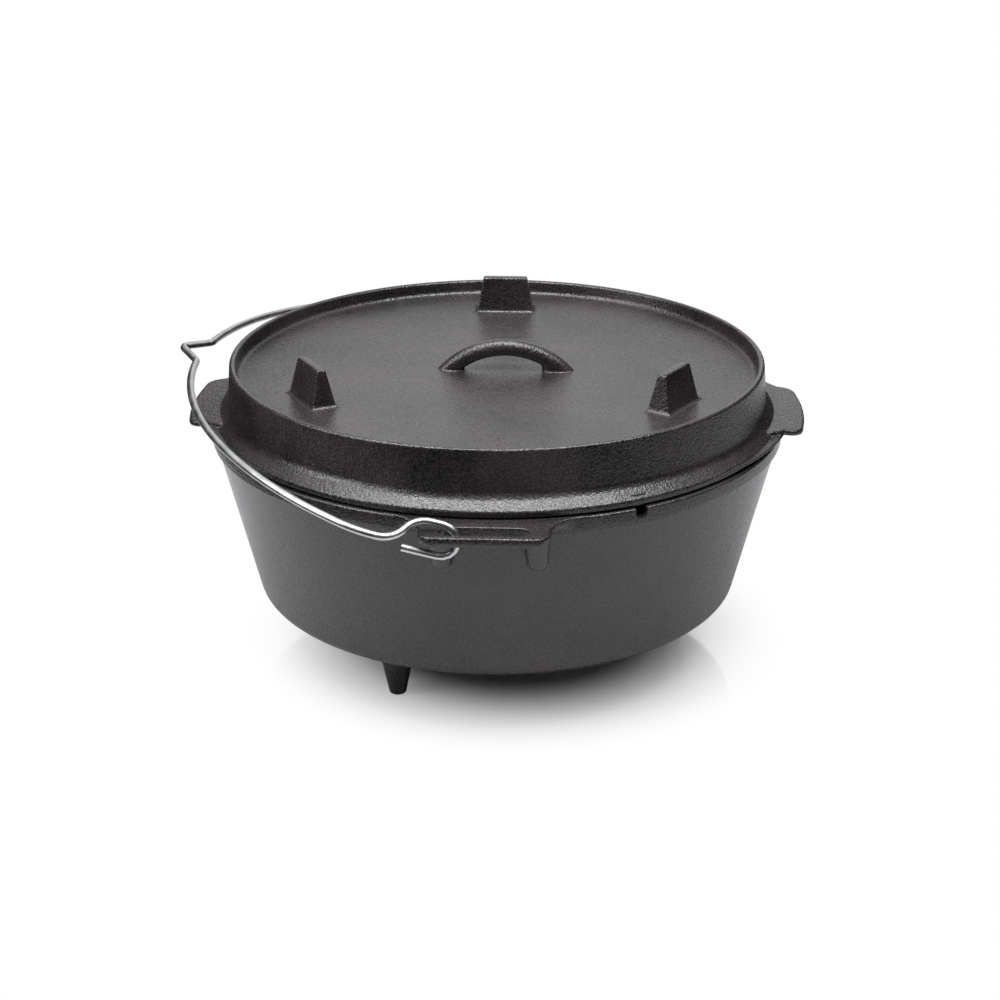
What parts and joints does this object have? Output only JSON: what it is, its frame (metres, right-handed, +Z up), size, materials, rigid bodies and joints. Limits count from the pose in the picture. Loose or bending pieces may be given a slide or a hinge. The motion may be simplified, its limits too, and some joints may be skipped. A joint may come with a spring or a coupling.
{
  "type": "camp dutch oven",
  "caption": "Lidded cast-iron camp oven on legs, with a coal-holding lid that turns over to stand on its feet, slotted ears and a swinging wire bail.",
  "frame": {"origin": "on the pot's axis, at the level of the leg tips", "axes": "+Z up along the pot's axis, +Y towards the rear ear, +X towards the lid tab away from the folded bail"},
  "size_m": [0.3917, 0.4151, 0.1988],
  "materials": {
    "pot_iron": "sand-cast and oil-seasoned, satin black with fine grain",
    "lid_iron": "sand-cast and oil-seasoned, satin black with fine grain",
    "bail_wire": "bright galvanised steel wire"
  },
  "bodies": {
    "pot": {"pot_shell": "pot_iron", "pot_rim": "pot_iron", "front_ear": "pot_iron", "rear_ear": "pot_iron", "leg_right": "pot_iron", "leg_rear_left": "pot_iron", "leg_front_left": "pot_iron"},
    "lid": {"lid_shell": "lid_iron", "lid_handle": "lid_iron", "lid_foot_rear": "lid_iron", "lid_foot_left": "lid_iron", "lid_foot_right": "lid_iron", "lid_tab_left": "lid_iron", "lid_tab_right": "lid_iron"},
    "bail": {"bail": "bail_wire"}
  },
  "joints": [
    {"name": "lid_lift", "type": "slide", "parent": "pot", "child": "lid", "axis": [0.3746, 0, 0.9272], "range_m": [0, 0.235]},
    {"name": "bail_swing", "type": "hinge", "parent": "pot", "child": "bail", "pos_m": [-0.00975, 0, 0.143], "axis": [0.0987, 0.9951, 0], "range_deg": [0, 100]}
  ]
}
